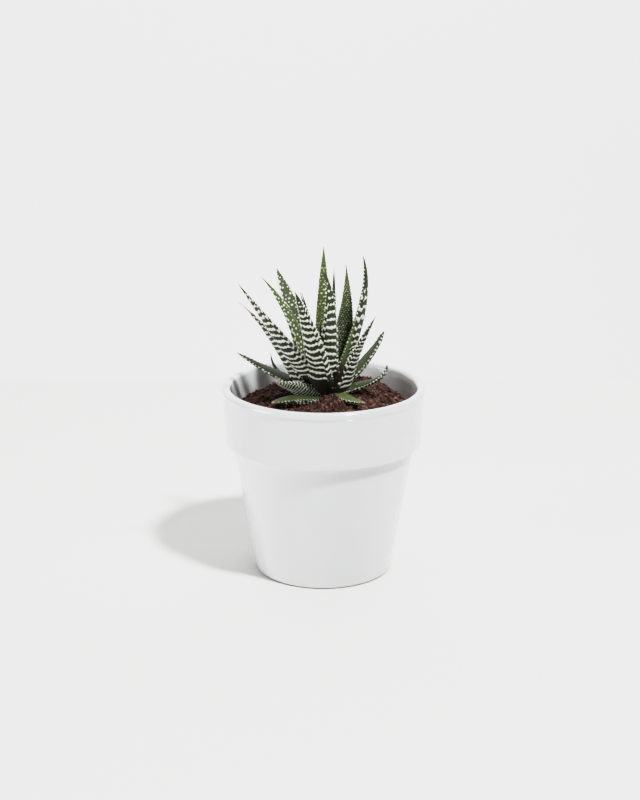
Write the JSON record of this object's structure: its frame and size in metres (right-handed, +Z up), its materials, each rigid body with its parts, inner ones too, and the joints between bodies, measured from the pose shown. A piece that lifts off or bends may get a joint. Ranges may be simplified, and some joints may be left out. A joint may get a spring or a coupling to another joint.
{
  "type": "potted haworthia",
  "caption": "Small banded succulent in a round white glazed pot: a rosette of stiff pointed leaves with raised white ridges, standing in brown soil.",
  "frame": {"origin": "centre of the pot's foot, on the plane it stands on", "axes": "+Z up along the pot's axis; -Y towards the viewer of the picture; +X to the viewer's right"},
  "size_m": [0.105, 0.105, 0.1703],
  "materials": {
    "pot_glaze": "gloss",
    "soil": "matte",
    "stem": "matte",
    "leaf_dark": "satin",
    "leaf_mid": "satin",
    "leaf_pale": "satin",
    "leaf_dried": "matte"
  },
  "bodies": {
    "root": {"pot": "pot_glaze", "soil": "soil", "stem": "stem", "leaf_front_broad": "leaf_dark", "leaf_front_hooked": "leaf_dark", "leaf_right_tall": "leaf_dark", "leaf_left_long": "leaf_dark", "leaf_left_dry_tip": "leaf_dark", "leaf_right_mid": "leaf_dark", "leaf_low_front_left": "leaf_dark", "leaf_low_right": "leaf_mid", "leaf_low_right_upturned": "leaf_dark", "leaf_resting_right": "leaf_mid", "leaf_resting_left": "leaf_dark", "leaf_low_left": "leaf_mid", "leaf_low_left_small": "leaf_dark", "leaf_left_blunt": "leaf_mid", "leaf_left_pale": "leaf_pale", "leaf_right_dark": "leaf_dark", "leaf_centre_tallest": "leaf_pale", "leaf_young_right": "leaf_dark", "leaf_young_left_outer": "leaf_dark", "leaf_young_left_inner": "leaf_dark", "leaf_heart": "leaf_dark", "leaf_back_tall_right": "leaf_mid", "leaf_back_tall_left": "leaf_mid", "leaf_back_spreading_right": "leaf_mid", "leaf_back_spreading_left": "leaf_mid", "leaf_back_mid_left": "leaf_dark", "leaf_back_mid_right": "leaf_dark", "leaf_back_resting": "leaf_dark", "leaf_back_low_right": "leaf_dark", "leaf_back_low_left": "leaf_dark", "leaf_dried": "leaf_dried"}
  },
  "joints": []
}
